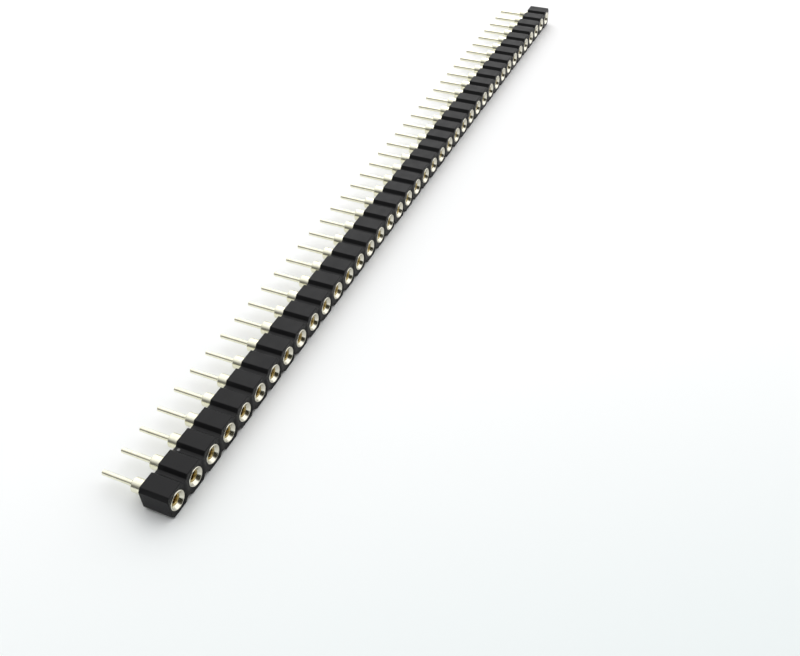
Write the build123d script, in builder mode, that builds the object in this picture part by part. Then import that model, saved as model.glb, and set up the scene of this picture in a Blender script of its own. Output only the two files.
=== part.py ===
from build123d import *
import os

# Single-row socket strip with turned contacts, lying on one long side.
# X runs along the row, +Y from the mating mouths to the solder tails, +Z up.
# The origin is at the middle of the strip's box in X and Y, on the surface it lies on.

# ---- row ----
ways = 40                    # contacts in the row
pitch = 2.54                 # contact to contact
clips_per_node = 4           # spring clips that share one file

# ---- moulded housing ----
body_height = 2.54           # across the flats that it lies on
body_depth = 2.80            # mouth face to tail face
flat_width = 1.60            # flat on top of each unit
notch_depth = 0.36           # snap-off notch between two units
notch_floor = 0.40           # flat bottom of a notch
edge_round = 0.05            # moulded rounding of the units' long edges

# ---- turned contact ----
head_diameter = 1.78
head_length = 0.50
head_proud = 0.03            # how far the head stands out of the mouth face
head_bevel = 0.04
barrel_diameter = 1.32
barb_height = 0.025          # press barbs that hold the barrel in the housing
barb_rise = 0.12             # length of a barb's ramp
barb_places = (1.10, 1.75)   # crest of each barb, from the mouth face
shoulder_length = 1.40       # barrel left standing out of the tail face
shoulder_bevel = 0.12
tail_diameter = 0.50
tail_length = 3.20
tail_bevel = 0.10

# ---- socket inside the contact ----
rim_width = 0.045            # flat ring left round the lead-in
sleeve_wall = 0.13           # round the drilled hole that the spring clip sits in
socket_depth = 3.50          # of the full diameter, from the head's face
drill_point = 0.25           # height of the drilled hole's conical end

# ---- spring clip ----
clip_wall = 0.15
clip_set_back = 0.02         # collar's rim below the small end of the funnel
collar_length = 0.70
finger_length = 1.70
finger_mouth = 0.38          # between opposite finger tips, unmated
slot_width = 0.12            # gap between two fingers

# ---- clearances ----
head_clearance = 0.02        # round the head in its recess
barb_clearance = 0.005       # round the barbs, all but line to line
clip_clearance = 0.005       # round the clip's collar

# ---- sizes that follow ----
overall_depth = head_proud + body_depth + shoulder_length + tail_length
mouth_face = -overall_depth / 2 + head_proud
tail_face = mouth_face + body_depth
row_length = ways * pitch - notch_floor    # snapped off flush with the end units' walls
axis_height = body_height / 2
barb_diameter = barrel_diameter + 2 * barb_height
funnel_diameter = head_diameter - 2 * (head_bevel + rim_width)
socket_diameter = barrel_diameter - 2 * sleeve_wall
first_way = -(ways - 1) * pitch / 2
funnel_depth = (funnel_diameter - socket_diameter) / 2
collar_radius = socket_diameter / 2 - clip_clearance
clip_start = -head_proud + funnel_depth + clip_set_back
contact_plane = Plane(origin=(0, mouth_face, axis_height))
contact_axis = Axis((0, mouth_face, axis_height), (0, 1, 0))


def way_place(way):
    """X of a contact, counted from 1 at the -X end."""
    return first_way + (way - 1) * pitch


# One moulding: units like octagons, joined at the necks between opposite notches.
notch_half = (pitch - flat_width) / 2
floor_half = notch_floor / 2
with BuildPart() as housing:
    with BuildSketch(Plane.XZ.offset(-tail_face)) as section:
        with Locations((0, axis_height)):
            Rectangle(row_length, body_height)
        with Locations((0, axis_height)):
            with GridLocations(pitch, body_height, ways + 1, 2):
                Polygon(
                    (-notch_half, 0),
                    (-floor_half, -notch_depth),
                    (floor_half, -notch_depth),
                    (notch_half, 0),
                    (floor_half, notch_depth),
                    (-floor_half, notch_depth),
                    mode=Mode.SUBTRACT,
                )
        flat_corners = section.vertices().group_by(Axis.Y)
        fillet(flat_corners[0] + flat_corners[-1], radius=edge_round)
    extrude(amount=body_depth)
    with Locations(Plane.XZ.offset(-mouth_face)):
        with Locations((0, axis_height)):
            with GridLocations(pitch, pitch, ways, 1):
                CounterBoreHole(
                    radius=barb_diameter / 2 + barb_clearance,
                    counter_bore_radius=head_diameter / 2 + head_clearance,
                    counter_bore_depth=head_length - head_proud,
                    depth=body_depth,
                )
housing.part.label = "housing"

# One turned contact, on the row's middle: radius along the plane's X, length along its Y.
head_start = -head_proud
head_end = head_start + head_length
shoulder_end = body_depth + shoulder_length
tail_end = shoulder_end + tail_length
with BuildPart() as contact_sleeve:
    with BuildSketch(contact_plane):
        with BuildLine():
            outline = Polyline(
                (funnel_diameter / 2, head_start),
                (head_diameter / 2 - head_bevel, head_start),
                (head_diameter / 2, head_start + head_bevel),
                (head_diameter / 2, head_end),
                (barrel_diameter / 2, head_end),
            )
            for crest in barb_places:
                outline = Polyline(
                    outline @ 1,
                    (barrel_diameter / 2, crest),
                    (barb_diameter / 2, crest),
                    (barrel_diameter / 2, crest + barb_rise),
                )
            Polyline(
                outline @ 1,
                (barrel_diameter / 2, shoulder_end - shoulder_bevel),
                (barrel_diameter / 2 - shoulder_bevel, shoulder_end),
                (tail_diameter / 2, shoulder_end),
                (tail_diameter / 2, tail_end - tail_bevel),
                (tail_diameter / 2 - tail_bevel, tail_end),
                (0, tail_end),
                (0, head_start + socket_depth + drill_point),
                (socket_diameter / 2, head_start + socket_depth),
                (socket_diameter / 2, head_start + funnel_depth),
                (funnel_diameter / 2, head_start),
            )
        make_face()
    revolve(axis=contact_axis)

# One drawn spring clip: a collar, then a cone slit into four fingers.
finger_start = clip_start + collar_length
finger_end = finger_start + finger_length
with BuildPart() as spring_clip:
    with BuildSketch(contact_plane):
        with BuildLine():
            Polyline(
                (collar_radius - clip_wall, clip_start),
                (collar_radius, clip_start),
                (collar_radius, finger_start),
                (finger_mouth / 2 + clip_wall, finger_end),
                (finger_mouth / 2, finger_end),
                (collar_radius - clip_wall, finger_start),
                close=True,
            )
        make_face()
    revolve(axis=contact_axis)
    with BuildSketch(Plane.XZ.offset(-(mouth_face + finger_end))):
        with Locations((0, axis_height)):
            Rectangle(socket_diameter, slot_width)
            Rectangle(slot_width, socket_diameter)
    extrude(amount=finger_length, mode=Mode.SUBTRACT)

os.makedirs("parts", exist_ok=True)
export_step(housing.part, "parts/housing.step")

for way in range(1, ways + 1):
    with BuildPart() as sleeve:
        with Locations((way_place(way), 0, 0)):
            add(contact_sleeve.part)
    sleeve.part.label = f"contact_sleeve_{way:02d}"
    export_step(sleeve.part, f"parts/{sleeve.part.label}.step")

for first in range(1, ways + 1, clips_per_node):
    last = min(first + clips_per_node - 1, ways)
    with BuildPart() as clips:
        with Locations([(way_place(way), 0, 0) for way in range(first, last + 1)]):
            add(spring_clip.part)
    clips.part.label = f"spring_clips_{first:02d}_to_{last:02d}"
    export_step(clips.part, f"parts/{clips.part.label}.step")
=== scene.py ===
import math

import bmesh
import bpy
from mathutils import Matrix, Vector, noise


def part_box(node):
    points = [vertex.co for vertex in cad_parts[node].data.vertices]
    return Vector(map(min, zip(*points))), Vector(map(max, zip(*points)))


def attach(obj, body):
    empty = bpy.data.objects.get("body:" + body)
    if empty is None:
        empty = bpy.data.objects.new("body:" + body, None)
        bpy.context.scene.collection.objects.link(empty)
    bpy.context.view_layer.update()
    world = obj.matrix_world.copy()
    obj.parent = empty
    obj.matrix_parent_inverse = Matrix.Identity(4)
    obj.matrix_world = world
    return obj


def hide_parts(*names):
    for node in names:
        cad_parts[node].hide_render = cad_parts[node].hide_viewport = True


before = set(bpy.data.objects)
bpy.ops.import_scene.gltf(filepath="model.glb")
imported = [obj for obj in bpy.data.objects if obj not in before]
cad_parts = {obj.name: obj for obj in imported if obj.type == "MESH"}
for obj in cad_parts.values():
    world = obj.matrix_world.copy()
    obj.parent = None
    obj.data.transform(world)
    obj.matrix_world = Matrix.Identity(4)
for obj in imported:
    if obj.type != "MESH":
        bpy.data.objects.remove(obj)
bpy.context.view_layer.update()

MM = 0.001
WELD = 0.0002 * MM
BODY = "root"

# ---- the strip, read from the frame ----
WAYS = sum(name.startswith("contact_sleeve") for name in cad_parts)
house_low, house_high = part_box("housing")
first_low, first_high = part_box("contact_sleeve_01")
FIRST_WAY = (first_low.x + first_high.x) / 2
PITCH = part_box("contact_sleeve_02")[0].x - first_low.x
MOUTH_FACE = house_low.y
TAIL_FACE = house_high.y
AXIS_HEIGHT = (house_low.z + house_high.z) / 2
HALF_HEIGHT = (house_high.z - house_low.z) / 2

# ---- housing details ----
FLAT_HALF = 0.80 * MM
NOTCH_DEPTH = 0.36 * MM
NOTCH_FLOOR_HALF = 0.20 * MM
RECESS_RADIUS = 0.91 * MM
RECESS_DEPTH = 0.47 * MM
HOLE_RADIUS = 0.69 * MM
EDGE_ROUND = 0.045 * MM
BREAK_DEPTH = 0.05 * MM
BREAK_RIM = 0.06 * MM
BREAK_CUTS = 18
BREAK_SLICE = 0.3
BREAK_GRAIN = 2.4
NICK_AFTER_WAY = 2
NICK_FROM_TAILS = 0.45 * MM
NICK_RADIUS = 0.17 * MM
NICK_TONE = (0.20, 0.20, 0.20, 1.0)

# ---- contact details, as distances along the axis from the mouth face ----
HEAD_PROUD = MOUTH_FACE - first_low.y
HEAD_RADIUS = 0.89 * MM
HEAD_END = 0.47 * MM
HEAD_BEVEL = 0.04 * MM
FUNNEL_RADIUS = 0.805 * MM
SOCKET_RADIUS = 0.53 * MM
FUNNEL_END = FUNNEL_RADIUS - SOCKET_RADIUS - HEAD_PROUD
REAMED_FADE = 0.05 * MM
REAMED_TONE = (0.71, 0.69, 0.59, 1.0)
SOCKET_END = 3.47 * MM
DRILL_POINT = 0.25 * MM
BARREL_RADIUS = 0.66 * MM
BARB_RADIUS = 0.685 * MM
BARBS = (1.10 * MM, 1.75 * MM)
BARB_RISE = 0.12 * MM
SHOULDER_END = 4.20 * MM
SHOULDER_BEVEL = 0.12 * MM
TAIL_RADIUS = 0.25 * MM
TAIL_BEVEL = 0.10 * MM
TAIL_END = first_high.y - MOUTH_FACE
TURNED_ROUND = 0.012 * MM
TURNED_STEPS = 48

# ---- spring clip details ----
COLLAR_RADIUS = 0.525 * MM
CLIP_WALL = 0.15 * MM
CLIP_START = 0.265 * MM
CLIP_LEAD = 0.03 * MM
COLLAR_END = 0.965 * MM
FINGER_END = 2.665 * MM
FINGER_MOUTH = 0.19 * MM
FINGERS = 4
FINGER_STEPS = TURNED_STEPS // FINGERS - 2
SLOT_ANGLE = math.radians(16)


def way_place(way):
    """X of a contact, counted from 1 at the -X end."""
    return FIRST_WAY + (way - 1) * PITCH


# ---------------------------------------------------------------- materials

# the colour sockets of a Mix node, which share their names with its other kinds
MIX_FIRST, MIX_SECOND, MIX_RESULT = 6, 7, 2


def new_material(name):
    """A node material and its principled shader."""
    material = bpy.data.materials.new(name)
    material.use_nodes = True
    return material, material.node_tree.nodes["Principled BSDF"]


def add_node(material, kind, inputs=None, **settings):
    """One node, with its settings and its unlinked input values."""
    node = material.node_tree.nodes.new(kind)
    for key, value in settings.items():
        setattr(node, key, value)
    for key, value in (inputs or {}).items():
        node.inputs[key].default_value = value
    return node


def link(material, source, target):
    material.node_tree.links.new(source, target)


def noise_of(material, vector, scale, detail=3.0, roughness=0.55):
    node = add_node(material, "ShaderNodeTexNoise",
                    {"Scale": scale, "Detail": detail, "Roughness": roughness})
    link(material, vector, node.inputs["Vector"])
    return node.outputs["Fac"]


def ramp_of(material, factor, stops):
    """A colour ramp through (position, colour) stops."""
    node = add_node(material, "ShaderNodeValToRGB")
    elements = node.color_ramp.elements
    while len(elements) < len(stops):
        elements.new(0.5)
    for element, (position, colour) in zip(elements, stops):
        element.position = position
        element.color = (*colour, 1.0)
    link(material, factor, node.inputs["Fac"])
    return node.outputs["Color"]


def range_of(material, value, low, high, from_low=0.3, from_high=0.7):
    node = add_node(material, "ShaderNodeMapRange",
                    {"From Min": from_low, "From Max": from_high, "To Min": low, "To Max": high})
    link(material, value, node.inputs["Value"])
    return node.outputs["Result"]


def bump_of(material, height, distance, strength):
    node = add_node(material, "ShaderNodeBump", {"Distance": distance, "Strength": strength})
    link(material, height, node.inputs["Height"])
    return node.outputs["Normal"]


def mix_of(material, factor, first, second_tone):
    """A linked colour that turns to a fixed tone as the factor goes from 0 to 1."""
    node = add_node(material, "ShaderNodeMix", data_type="RGBA")
    link(material, factor, node.inputs["Factor"])
    link(material, first, node.inputs[MIX_FIRST])
    node.inputs[MIX_SECOND].default_value = second_tone
    return node.outputs[MIX_RESULT]


def leaning_tone(owner, way, side, tones):
    """Tone by how far a vector leans to one side: 0 faces away from it, 1 faces it."""
    lean = add_node(owner, "ShaderNodeVectorMath", operation="DOT_PRODUCT")
    link(owner, way, lean.inputs[0])
    lean.inputs[1].default_value = side
    return ramp_of(owner, range_of(owner, lean.outputs["Value"], 0.0, 1.0, -1.0, 1.0), tones)


def nicked(material, place, colour):
    """The colour, with one pale scuffed nick on a notch floor near the tail side."""
    away = add_node(material, "ShaderNodeVectorMath", operation="DISTANCE")
    link(material, place, away.inputs[0])
    away.inputs[1].default_value = (way_place(NICK_AFTER_WAY) + PITCH / 2, TAIL_FACE - NICK_FROM_TAILS,
                                    house_high.z - NOTCH_DEPTH)
    scuffed = range_of(material, away.outputs["Value"], 1.0, 0.0, NICK_RADIUS / 2, NICK_RADIUS)
    return mix_of(material, scuffed, colour, NICK_TONE)


def moulded_black():
    """Black glass-filled moulding: faint mottle, fine grain, satin."""
    material, shader = new_material("moulded_black")
    place = add_node(material, "ShaderNodeTexCoord").outputs["Object"]
    mottle = noise_of(material, place, 900.0)
    grain = noise_of(material, place, 9000.0, detail=4.0)
    colour = ramp_of(material, mottle,
                     [(0.30, (0.0045, 0.0045, 0.005)), (0.70, (0.007, 0.007, 0.0075))])
    link(material, nicked(material, place, colour), shader.inputs["Base Color"])
    link(material, range_of(material, mottle, 0.42, 0.54), shader.inputs["Roughness"])
    link(material, bump_of(material, grain, 0.006 * MM, 0.5), shader.inputs["Normal"])
    shader.inputs["Specular IOR Level"].default_value = 0.19
    return material


def broken_black():
    """The snapped neck at each end: paler, coarse and dull."""
    material, shader = new_material("broken_black")
    place = add_node(material, "ShaderNodeTexCoord").outputs["Object"]
    coarse = noise_of(material, place, 3500.0, detail=5.0, roughness=0.7)
    colour = ramp_of(material, coarse, [(0.35, (0.008, 0.008, 0.009)), (0.68, (0.022, 0.022, 0.024))])
    link(material, colour, shader.inputs["Base Color"])
    link(material, range_of(material, coarse, 0.6, 0.8), shader.inputs["Roughness"])
    link(material, bump_of(material, coarse, 0.03 * MM, 0.7), shader.inputs["Normal"])
    shader.inputs["Specular IOR Level"].default_value = 0.3
    return material


def reamed_mouth(material, turned, colour):
    """The colour, reamed a little greyer from the rim to the bottom of the funnel."""
    axes = add_node(material, "ShaderNodeSeparateXYZ")
    link(material, turned, axes.inputs["Vector"])
    reamed = range_of(material, axes.outputs["Y"], 1.0, 0.0, FUNNEL_END, FUNNEL_END + REAMED_FADE)
    return mix_of(material, reamed, colour, REAMED_TONE)


def turned_metal(name, low_colour, high_colour, low_rough, high_rough, reamed=False):
    """Plated metal with fine turning marks round its axis, from the mesh's own turned attribute."""
    material, shader = new_material(name)
    turned = add_node(material, "ShaderNodeAttribute", attribute_name="turned").outputs["Vector"]
    place = add_node(material, "ShaderNodeTexCoord").outputs["Object"]
    marks = noise_of(material, turned, 30000.0, detail=2.0)
    stain = noise_of(material, place, 1400.0)
    colour = ramp_of(material, stain, [(0.32, low_colour), (0.68, high_colour)])
    if reamed:
        colour = reamed_mouth(material, turned, colour)
    link(material, colour, shader.inputs["Base Color"])
    link(material, range_of(material, marks, low_rough, high_rough), shader.inputs["Roughness"])
    link(material, bump_of(material, marks, 0.0015 * MM, 0.35), shader.inputs["Normal"])
    shader.inputs["Metallic"].default_value = 1.0
    return material


# ---------------------------------------------------------------- meshes

def finish_piece(bm, name, materials, node):
    """Turn a bmesh into a piece that stands for a CAD node."""
    mesh = bpy.data.meshes.new(name)
    bm.to_mesh(mesh)
    bm.free()
    for material in materials:
        mesh.materials.append(material)
    piece = bpy.data.objects.new(name, mesh)
    bpy.context.scene.collection.objects.link(piece)
    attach(piece, BODY)
    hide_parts(node)
    return piece


def weighted_normals(piece):
    """Flat faces stay flat, and only the rounded edges shade smoothly."""
    modifier = piece.modifiers.new("weighted", "WEIGHTED_NORMAL")
    modifier.keep_sharp = True
    modifier.weight = 50


def sharp_rings(bm, least_angle=math.radians(20)):
    return [e for e in bm.edges if len(e.link_faces) == 2 and e.calc_face_angle(0.0) > least_angle]


def spun_profile(points, steps, angle=2 * math.pi, start=0.0):
    """A closed profile of (radius, along) points spun round the Y axis."""
    bm = bmesh.new()
    corners = [bm.verts.new((radius, along, 0.0)) for radius, along in points]
    for here, there in zip(corners, corners[1:] + corners[:1]):
        if here.co.x > WELD or there.co.x > WELD:
            bm.edges.new((here, there))
    full = angle > 2 * math.pi - 1e-6
    if not full:
        bm.faces.new(corners)
    bmesh.ops.rotate(bm, verts=bm.verts[:], cent=(0, 0, 0), matrix=Matrix.Rotation(start, 3, "Y"))
    bmesh.ops.spin(bm, geom=bm.verts[:] + bm.edges[:] + bm.faces[:], cent=(0, 0, 0), axis=(0, 1, 0),
                   angle=angle, steps=steps, use_merge=full, use_duplicate=False)
    bmesh.ops.remove_doubles(bm, verts=bm.verts[:], dist=WELD)
    bmesh.ops.recalc_face_normals(bm, faces=bm.faces[:])
    return bm


def store_turned(bm):
    """Distance along the axis and out from it, for the turning marks. The bmesh is still on the Y axis."""
    layer = bm.verts.layers.float_vector.new("turned")
    for vert in bm.verts:
        vert[layer] = (math.hypot(vert.co.x, vert.co.z), vert.co.y, 0.0)


def smooth_faces(bm):
    for face in bm.faces:
        face.smooth = True


def turned_contact():
    """One contact on the Y axis, its housing's mouth face at zero."""
    points = [
        (FUNNEL_RADIUS, -HEAD_PROUD),
        (HEAD_RADIUS - HEAD_BEVEL, -HEAD_PROUD),
        (HEAD_RADIUS, -HEAD_PROUD + HEAD_BEVEL),
        (HEAD_RADIUS, HEAD_END),
        (BARREL_RADIUS, HEAD_END),
    ]
    for crest in BARBS:
        points += [(BARREL_RADIUS, crest), (BARB_RADIUS, crest), (BARREL_RADIUS, crest + BARB_RISE)]
    points += [
        (BARREL_RADIUS, SHOULDER_END - SHOULDER_BEVEL),
        (BARREL_RADIUS - SHOULDER_BEVEL, SHOULDER_END),
        (TAIL_RADIUS, SHOULDER_END),
        (TAIL_RADIUS, TAIL_END - TAIL_BEVEL),
        (TAIL_RADIUS - TAIL_BEVEL, TAIL_END),
        (0.0, TAIL_END),
        (0.0, SOCKET_END + DRILL_POINT),
        (SOCKET_RADIUS, SOCKET_END),
        (SOCKET_RADIUS, FUNNEL_END),
    ]
    bm = spun_profile(points, TURNED_STEPS)
    bmesh.ops.bevel(bm, geom=sharp_rings(bm), offset=TURNED_ROUND, offset_type="OFFSET", affect="EDGES",
                    segments=2, profile=0.5, material=-1, clamp_overlap=True)
    smooth_faces(bm)
    store_turned(bm)
    return bm


def spring_clip():
    """One drawn clip on the Y axis: a collar and four fingers that lean in to the axis."""
    inner = COLLAR_RADIUS - CLIP_WALL
    collar = spun_profile(
        [(inner + CLIP_LEAD, CLIP_START), (COLLAR_RADIUS, CLIP_START), (COLLAR_RADIUS, COLLAR_END),
         (inner, COLLAR_END), (inner, CLIP_START + CLIP_LEAD)], TURNED_STEPS)
    mesh = bpy.data.meshes.new("clip_parts")
    for number in range(FINGERS):
        quarter = 2 * math.pi / FINGERS
        finger = spun_profile(
            [(inner, COLLAR_END), (COLLAR_RADIUS, COLLAR_END), (FINGER_MOUTH + CLIP_WALL, FINGER_END),
             (FINGER_MOUTH, FINGER_END)],
            FINGER_STEPS, quarter - SLOT_ANGLE, number * quarter + SLOT_ANGLE / 2)
        finger.to_mesh(mesh)
        finger.free()
        collar.from_mesh(mesh)
    bpy.data.meshes.remove(mesh)
    smooth_faces(collar)
    store_turned(collar)
    return collar


def placed(bm, ways):
    """Copies of a bmesh on the Y axis, moved to each of these contacts."""
    mesh = bpy.data.meshes.new("one")
    bm.to_mesh(mesh)
    out = bmesh.new()
    for way in ways:
        before = len(out.verts)
        out.from_mesh(mesh)
        out.verts.ensure_lookup_table()
        bmesh.ops.translate(out, verts=out.verts[before:], vec=(way_place(way), MOUTH_FACE, AXIS_HEIGHT))
    bpy.data.meshes.remove(mesh)
    return out


def unit_outline():
    """Right half of one unit's outline, from the bottom to the top, as (x, z) from its axis."""
    low, high = -HALF_HEIGHT, HALF_HEIGHT
    floor_x = PITCH / 2 - NOTCH_FLOOR_HALF
    return [(FLAT_HALF, low), (floor_x, low + NOTCH_DEPTH), (PITCH / 2, low + NOTCH_DEPTH),
            (PITCH / 2, high - NOTCH_DEPTH), (floor_x, high - NOTCH_DEPTH), (FLAT_HALF, high)]


def end_plate(bm, along, hole_radius):
    """One unit's mouth or tail face with its round hole. Gives its corners and the hole's edges."""
    right = unit_outline()
    outline = [(x, along, z) for x, z in right] + [(-x, along, z) for x, z in reversed(right)]
    corners = [bm.verts.new(point) for point in outline]
    edges = [bm.edges.new(pair) for pair in zip(corners, corners[1:] + corners[:1])]
    facing = Matrix.Translation((0, along, 0)) @ Matrix.Rotation(math.pi / 2, 4, "X")
    ring = bmesh.ops.create_circle(bm, cap_ends=False, segments=TURNED_STEPS, radius=hole_radius,
                                   matrix=facing)
    ring_edges = list({e for v in ring["verts"] for e in v.link_edges})
    bmesh.ops.triangle_fill(bm, use_beauty=True, use_dissolve=False, edges=edges + ring_edges)
    return corners, ring_edges


def housing_unit():
    """One octagonal unit with its stepped hole, open at both necks."""
    bm = bmesh.new()
    depth = TAIL_FACE - MOUTH_FACE
    front, ring = end_plate(bm, 0.0, RECESS_RADIUS)
    back, _ = end_plate(bm, depth, HOLE_RADIUS)
    count = len(front)
    for i in range(count):
        j = (i + 1) % count
        if abs(front[i].co.x - front[j].co.x) < WELD and abs(abs(front[i].co.x) - PITCH / 2) < WELD:
            continue
        bm.faces.new((front[i], front[j], back[j], back[i]))
    for radius, end in ((RECESS_RADIUS, RECESS_DEPTH), (HOLE_RADIUS, RECESS_DEPTH), (HOLE_RADIUS, depth)):
        made = bmesh.ops.extrude_edge_only(bm, edges=ring)["geom"]
        ring = [g for g in made if isinstance(g, bmesh.types.BMEdge)]
        for vert in [g for g in made if isinstance(g, bmesh.types.BMVert)]:
            scale = radius / math.hypot(vert.co.x, vert.co.z)
            vert.co = (vert.co.x * scale, end, vert.co.z * scale)
    bmesh.ops.remove_doubles(bm, verts=bm.verts[:], dist=WELD)
    return bm


def neck_break(bm, x):
    """Closes the strip's end at x with the coarse face of a snapped neck, inside a clean moulded rim."""
    def on_end(vert):
        return abs(vert.co.x - x) < WELD

    boundary = [e for e in bm.edges if e.is_boundary and all(map(on_end, e.verts))]
    bmesh.ops.contextual_create(bm, geom=boundary)
    cap = [f for f in bm.faces if all(map(on_end, f.verts))]
    rim = bmesh.ops.inset_region(bm, faces=cap, thickness=BREAK_RIM, use_even_offset=True)["faces"]
    core = [f for f in bm.faces if f not in rim and all(map(on_end, f.verts))]
    edges = list({e for f in core for e in f.edges})
    bmesh.ops.subdivide_edges(bm, edges=edges, cuts=BREAK_CUTS, use_grid_fill=True)
    inward = -1 if x > 0 else 1
    broken = {f for f in bm.faces if f not in rim and all(map(on_end, f.verts))}
    for vert in {v for f in broken for v in f.verts if all(g in broken for g in v.link_faces)}:
        rough = noise.fractal(Vector((BREAK_SLICE, vert.co.y, vert.co.z)) / MM * BREAK_GRAIN, 1.0, 2.0, 4)
        vert.co.x += inward * BREAK_DEPTH * min(max(0.5 + 0.6 * rough, 0.0), 1.0)
    for face in broken:
        face.material_index = 1


def from_axis(place):
    """How far a point lies from the axis of the nearest contact."""
    across = (place.x - FIRST_WAY + PITCH / 2) % PITCH - PITCH / 2
    return math.hypot(across, place.z - AXIS_HEIGHT)


def housing_strip():
    """All the units welded at their necks, cut off at both ends, rounded, and broken at the end necks."""
    bm = placed(housing_unit(), range(1, WAYS + 1))
    bmesh.ops.remove_doubles(bm, verts=bm.verts[:], dist=WELD)
    for x, outward in ((house_low.x, -1), (house_high.x, 1)):
        bmesh.ops.bisect_plane(bm, geom=bm.verts[:] + bm.edges[:] + bm.faces[:], dist=WELD,
                               plane_co=(x, 0, 0), plane_no=(outward, 0, 0), clear_outer=True)
    bmesh.ops.recalc_face_normals(bm, faces=bm.faces[:])
    outer = [e for e in sharp_rings(bm) if all(from_axis(v.co) > RECESS_RADIUS + WELD for v in e.verts)]
    bmesh.ops.bevel(bm, geom=outer, offset=EDGE_ROUND, offset_type="OFFSET", affect="EDGES",
                    segments=3, profile=0.5, material=-1, clamp_overlap=True)
    for x in (house_low.x, house_high.x):
        neck_break(bm, x)
    smooth_faces(bm)
    return bm


# ---------------------------------------------------------------- stage

# the floor paper, with painted light: its colour is painted palest towards the far +X+Y side and darker, a
# little bluer, towards the camera, standing in for the lamp's falloff; its tones run out at FLOOR_REACH
# metres
FLOOR_PAINTED_LIGHT_SIDE = Vector((0.80, 0.60, 0.0))
FLOOR_REACH = 0.10
FLOOR_HALF_WIDTH = 2.0
FLOOR_PAINTED_FALLOFF_TONES = [(0.15, (0.79, 0.845, 0.845)), (0.33, (0.95, 0.96, 0.96)), (0.70, (0.98, 0.98, 0.985))]


def make_stage():
    floor_material, shader = new_material("floor_painted_falloff")
    place = add_node(floor_material, "ShaderNodeTexCoord").outputs["Object"]
    # painted light: the floor's base colour grades from pale far off to darker near the camera, in place
    # of the lamp's falloff
    tone = leaning_tone(floor_material, place, FLOOR_PAINTED_LIGHT_SIDE / FLOOR_REACH, FLOOR_PAINTED_FALLOFF_TONES)
    link(floor_material, tone, shader.inputs["Base Color"])
    shader.inputs["Roughness"].default_value = 0.9
    bm = bmesh.new()
    bmesh.ops.create_grid(bm, x_segments=2, y_segments=2, size=FLOOR_HALF_WIDTH)
    mesh = bpy.data.meshes.new("floor")
    bm.to_mesh(mesh)
    bm.free()
    mesh.materials.append(floor_material)
    floor = bpy.data.objects.new("floor", mesh)
    bpy.context.scene.collection.objects.link(floor)


def area_light(name, location, aim, size, power):
    data = bpy.data.lights.new(name, "AREA")
    data.shape = "DISK"
    data.size = size
    data.energy = power
    lamp = bpy.data.objects.new(name, data)
    bpy.context.scene.collection.objects.link(lamp)
    lamp.location = location
    lamp.rotation_euler = (Vector(aim) - Vector(location)).to_track_quat("-Z", "Y").to_euler()


# the studio: a tent that is brightest towards SKY_BRIGHT_SIDE, with a dark gap where it opens
SKY_BRIGHT_SIDE = Vector((0.77, -0.20, 0.61)).normalized()
SKY_TONES = [(0.26, (0.10, 0.10, 0.10)), (0.36, (0.22, 0.22, 0.22)), (0.48, (0.50, 0.50, 0.50)),
             (0.68, (0.86, 0.86, 0.87)), (0.88, (1.0, 1.0, 1.0))]
SKY_GAP_SIDE = Vector((-0.50, -0.76, 0.42)).normalized()
SKY_GAP_TONES = [(0.83, (1.0, 1.0, 1.0)), (0.91, (0.035, 0.032, 0.02))]
SKY_STRENGTH = 1.55
LAMP_PLACE = (0.20, 0.10, 0.22)
LAMP_SIZE = 0.20
LAMP_POWER = 0.11


def make_lights():
    world = bpy.data.worlds.new("studio")
    bpy.context.scene.world = world
    world.use_nodes = True
    way = add_node(world, "ShaderNodeTexCoord").outputs["Generated"]
    both = add_node(world, "ShaderNodeMix", data_type="RGBA", blend_type="MULTIPLY")
    both.inputs["Factor"].default_value = 1.0
    link(world, leaning_tone(world, way, SKY_BRIGHT_SIDE, SKY_TONES), both.inputs[MIX_FIRST])
    link(world, leaning_tone(world, way, SKY_GAP_SIDE, SKY_GAP_TONES), both.inputs[MIX_SECOND])
    background = world.node_tree.nodes["Background"]
    link(world, both.outputs[MIX_RESULT], background.inputs["Color"])
    background.inputs["Strength"].default_value = SKY_STRENGTH
    area_light("soft_top", LAMP_PLACE, (0, 0, 0), LAMP_SIZE, LAMP_POWER)


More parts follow.
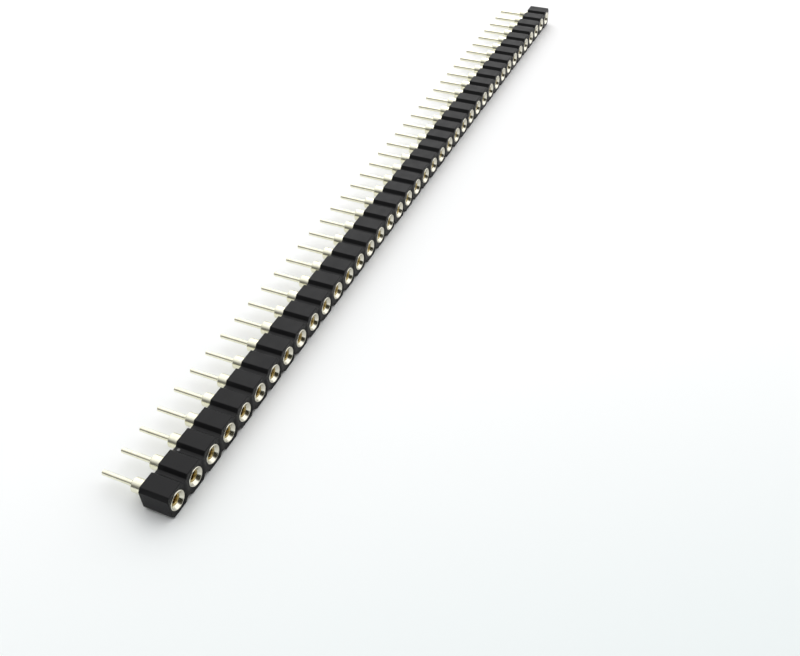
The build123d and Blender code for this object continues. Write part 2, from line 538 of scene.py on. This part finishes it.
# camera: where it looks, from which side and how far
CAMERA_AIM = Vector((-23.09, -11.14, 0.0)) * MM
CAMERA_AZIMUTH = math.radians(-64.38)
CAMERA_ELEVATION = math.radians(42.18)
CAMERA_DISTANCE = 85.12 * MM
CAMERA_ROLL = math.radians(-2.41)
CAMERA_LENS = 39.2
CAMERA_SENSOR = 36.0


def make_camera():
    data = bpy.data.cameras.new("camera")
    data.lens = CAMERA_LENS
    data.sensor_width = CAMERA_SENSOR
    data.clip_start = MM
    camera = bpy.data.objects.new("camera", data)
    bpy.context.scene.collection.objects.link(camera)
    level = math.cos(CAMERA_ELEVATION)
    back = Vector((math.sin(CAMERA_AZIMUTH) * level, -math.cos(CAMERA_AZIMUTH) * level,
                   math.sin(CAMERA_ELEVATION)))
    right = Vector((0, 0, 1)).cross(back).normalized()
    up = back.cross(right)
    turn = Matrix.Rotation(CAMERA_ROLL, 3, "Z")
    facing = Matrix((right, up, back)).transposed() @ turn
    camera.matrix_world = Matrix.Translation(CAMERA_AIM + back * CAMERA_DISTANCE) @ facing.to_4x4()
    bpy.context.scene.camera = camera


make_camera()
bpy.context.scene.view_settings.view_transform = "Standard"
make_lights()
make_stage()

black = moulded_black()
broken = broken_black()
plated = turned_metal("bright_plate", (0.80, 0.785, 0.61), (0.87, 0.855, 0.70), 0.12, 0.24,
                      reamed=True)
gilt = turned_metal("gilt_spring_metal", (0.44, 0.335, 0.13), (0.60, 0.465, 0.20), 0.18, 0.32)

strip = finish_piece(housing_strip(), "moulded_housing", [black, broken], "housing")
weighted_normals(strip)

contact = turned_contact()
for way in range(1, WAYS + 1):
    piece = finish_piece(placed(contact, [way]), f"turned_contact_{way:02d}", [plated],
                         f"contact_sleeve_{way:02d}")
    weighted_normals(piece)

clip = spring_clip()
for node in sorted(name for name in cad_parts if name.startswith("spring_clips")):
    first, last = [int(word) for word in node.split("_") if word.isdigit()]
    piece = finish_piece(placed(clip, range(first, last + 1)), f"drawn_clips_{first:02d}_to_{last:02d}",
                         [gilt], node)
    weighted_normals(piece)
